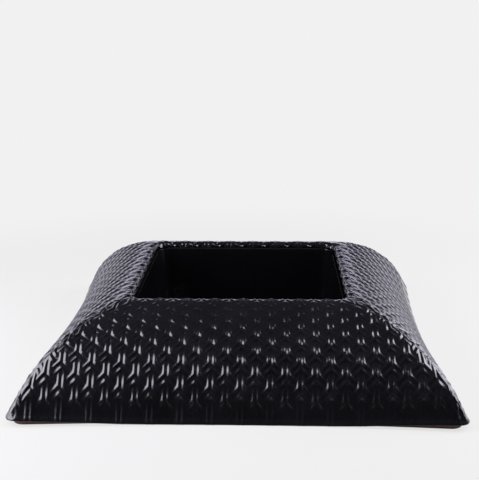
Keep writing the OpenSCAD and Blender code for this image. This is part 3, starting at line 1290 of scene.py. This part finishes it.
@dataclass
class Carcass:
    """Base board, well boards, ribs and hips, kept as solids and dressed."""

    board: BrownHardboard = field(default_factory=BrownHardboard)
    ply: BirchPlywood = field(default_factory=BirchPlywood)
    # The well boards come close to the rim's edge, so they are coloured near-black as painted shade: the gap
    # under the rim then reads as dark shade.
    shade_painted_ply: BirchPlywood = BirchPlywood("birch_plywood_painted_shade_black", ("#100f0e", "#1d1b19"))

    def build(self) -> None:
        """Dresses the carcass's solids."""
        plywood = self.ply.build()
        shade_painted_material = self.shade_painted_ply.build()
        dress(bpy.data.objects["base_board"], self.board.build())
        LOG.info("base_board dressed")
        for side in Side:
            dress(bpy.data.objects[f"{side.label}_ribs"], plywood)
            # Well boards take the near-black painted shade.
            dress(bpy.data.objects[f"{side.label}_well_board"], shade_painted_material)
            LOG.info("%s: ribs and well board dressed", side.label)
        for corner in ("front_right", "back_right", "back_left", "front_left"):
            dress(bpy.data.objects[f"{corner}_hip"], plywood)
            LOG.info("%s_hip dressed", corner)


@dataclass(frozen=True)
class Softbox:
    """One soft lamp, aimed at the pot."""

    name: str
    place: Triple
    size: Pair
    radiance: float
    mirrored: bool = True
    tint: str = "#f4f3ff"

    def build(self, target: Vector) -> None:
        """Builds the lamp and aims it.

        Args:
            target: Point in metres that the lamp faces.
        """
        lamp = bpy.data.lights.new(self.name, "AREA")
        lamp.shape = "RECTANGLE"
        lamp.size, lamp.size_y = self.size
        lamp.energy = self.radiance * math.pi * self.size[0] * self.size[1]
        lamp.color = linear(self.tint)[:3]
        made = bpy.data.objects.new(self.name, lamp)
        made.location = self.place
        made.visible_glossy = self.mirrored
        made.visible_camera = False
        made.rotation_euler = (target - Vector(self.place)).to_track_quat("-Z", "Y").to_euler()
        bpy.context.scene.collection.objects.link(made)
        LOG.info("lamp %s", self.name)


@dataclass
class Studio:
    """Pale floor, soft lamps, room light and the camera; the room's sizes are metres and directions."""

    paper: str = "#f1f1f1"
    matt_paper: str = "#e9e9e4"
    floor_half: float = 9.0
    floor_steps: int = 24
    floor_crease: float = 30.0
    # Distances from the pot between which the paper's own white grows, and its share at both
    floor_range: Pair = (0.3, 0.75)
    floor_share: Pair = (0.8, 1.0)
    mirrored_room: str = "#ede9ff"
    room: float = 0.04
    ceiling: float = 0.1
    # Directions between which the white wall begins, ends above (lower at the sides) and the ceiling begins
    wall_range: Pair = (0.4, 0.8)
    wall_top: Pair = (0.37, 0.22)
    wall_top_rise: float = -0.25
    ceiling_range: Pair = (0.5, 0.85)
    target: Triple = (0.0, 0.0, 0.04)
    lamps: Tuple[Softbox, ...] = (
        Softbox("left_softbox", (-0.505, -0.216, 0.275), (0.48, 0.44), 4.9),
        Softbox("right_softbox", (0.771, 0.027, 0.504), (0.7, 0.56), 5.2),
        Softbox("overhead_fill", (0.0, -0.2, 2.2), (2.4, 2.4), 1.5, False),
    )
    # Camera: place in millimetres, angles in radians and focal length in pixels of the photograph
    camera_place: Triple = (29.64, -912.1, 351.75)
    camera_yaw: float = -0.0354
    camera_pitch: float = 0.2534
    camera_roll: float = -0.0055
    camera_pixels: float = 910.7

    def build_camera(self) -> None:
        """Sets the camera where the photograph was taken from."""
        yaw, pitch, roll = self.camera_yaw, self.camera_pitch, self.camera_roll
        ahead = Vector((math.sin(yaw) * math.cos(pitch), math.cos(yaw) * math.cos(pitch), -math.sin(pitch)))
        level = Vector((math.cos(yaw), -math.sin(yaw), 0.0))
        upright = level.cross(ahead)
        right = level * math.cos(roll) + upright * math.sin(roll)
        up = upright * math.cos(roll) - level * math.sin(roll)
        data = bpy.data.cameras.new("camera")
        data.sensor_width = SENSOR_WIDTH
        data.lens = self.camera_pixels * SENSOR_WIDTH / IMAGE_LONG_SIDE
        made = bpy.data.objects.new("camera", data)
        facing = Matrix((right, up, -ahead)).transposed().to_4x4()
        made.matrix_world = Matrix.Translation(Vector(self.camera_place) * MM) @ facing
        bpy.context.scene.collection.objects.link(made)
        bpy.context.scene.camera = made
        LOG.info("camera: %.1f mm lens", data.lens)

    def build_floor(self) -> None:
        """Lays the pale floor, which takes the pot's shadow."""
        half = self.floor_half / MM
        line = np.linspace(-half, half, self.floor_steps + 1)
        points = np.array([(x, y, 0.0) for y in line for x in line])
        wide = len(line)
        corners = [j * wide + i for j in range(wide - 1) for i in range(wide - 1)]
        faces = [(c, c + 1, c + 1 + wide, c + wide) for c in corners]
        floor = make_object("paper_floor", points, faces, self.floor_crease)
        material, tree, place = new_material("studio_paper")
        # Matt white paper: a share of its white is its own, so that it meets the white room without a line.
        away = add_node(tree, "VectorMath", {"operation": "LENGTH"}, {0: place})
        share = add_node(
            tree,
            "MapRange",
            {"interpolation_type": "SMOOTHSTEP", **span(self.floor_range, self.floor_share)},
            {"Value": away.outputs["Value"]},
        )
        matt = add_node(tree, "BsdfDiffuse", {"Color": linear(self.matt_paper)})
        own = add_node(tree, "Emission", {"Color": linear(self.paper), "Strength": 1.0})
        # Rays that show the background see the paper's own white; rays that light things don't.
        path = add_node(tree, "LightPath").outputs
        largest = {"operation": "MAXIMUM"}
        mirrored = add_node(tree, "Math", largest, {0: path["Is Glossy Ray"], 1: path["Is Transmission Ray"]})
        seen = add_node(tree, "Math", largest, {0: path["Is Camera Ray"], 1: mirrored})
        mixed = add_node(tree, "Math", {"operation": "MULTIPLY"}, {0: seen, 1: share})
        shader = add_node(tree, "MixShader", links={0: mixed, 1: matt, 2: own})
        add_node(tree, "OutputMaterial", links={"Surface": shader})
        dress(floor, material)
        LOG.info("floor laid")

    def build_room(self) -> None:
        """Lights the room: a low white wall behind the pot, a grey ceiling, and dim on the camera's side."""
        world = bpy.data.worlds.new("studio_room")
        bpy.context.scene.world = world
        world.use_nodes = True
        tree = world.node_tree
        tree.nodes.clear()
        way = add_node(tree, "TexCoord")
        parts = add_node(tree, "SeparateXYZ", links={"Vector": way.outputs["Generated"]}).outputs
        ease = {"interpolation_type": "SMOOTHSTEP"}
        behind = add_node(tree, "MapRange", {**ease, **span(self.wall_range)}, {"Value": parts["Y"]})
        sideways = add_node(tree, "Math", {"operation": "ABSOLUTE"}, {0: parts["X"]})
        above = add_node(
            tree,
            "Math",
            {"operation": "MULTIPLY_ADD", 1: self.wall_top_rise},
            {0: sideways, 2: parts["Z"]},
        )
        low = add_node(tree, "MapRange", {**ease, **span(self.wall_top)}, {"Value": above})
        wall = add_node(tree, "Math", {"operation": "MULTIPLY"}, {0: behind, 1: low})
        overhead = span(self.ceiling_range, (self.room, self.ceiling))
        ceiling = add_node(tree, "MapRange", overhead, {"Value": parts["Z"]})
        level = add_node(tree, "MapRange", links={"Value": wall, "To Min": ceiling})
        lit = add_node(tree, "Background", {"Color": linear(self.mirrored_room)}, {"Strength": level})
        shown = add_node(tree, "Background", {"Color": linear(self.paper), "Strength": 1.0})
        path = add_node(tree, "LightPath")
        shader = add_node(tree, "MixShader", links={0: path.outputs["Is Camera Ray"], 1: lit, 2: shown})
        add_node(tree, "OutputWorld", links={"Surface": shader})
        LOG.info("room lit")

    def build(self) -> None:
        """Builds the camera, floor, room and lamps."""
        self.build_camera()
        self.build_floor()
        self.build_room()
        for lamp in self.lamps:
            lamp.build(Vector(self.target))
        bpy.context.scene.view_settings.view_transform = "Standard"


def main() -> None:
    """Builds the pot and its studio in order."""
    logging.basicConfig(level=logging.INFO, format="%(name)s: %(message)s")
    Studio().build()
    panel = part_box("front_panel")
    form = CoverForm(foot_half=round(-panel[0].y / MM), top=panel[1].z / MM)
    Cover(EmbossedSkin(form)).build()
    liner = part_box("liner")
    GlossWell(top=liner[1].z / MM, floor_z=liner[0].z / MM, top_half=liner[1].x / MM).build()
    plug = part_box("drain_plug")
    seat = liner[0].z / MM + GlossWell.floor
    DrainBung(low=plug[0].z / MM, seat=seat, top=plug[1].z / MM).build()
    BaseScrews().build()
    Carcass().build()


if __name__ == "__main__":
    main()
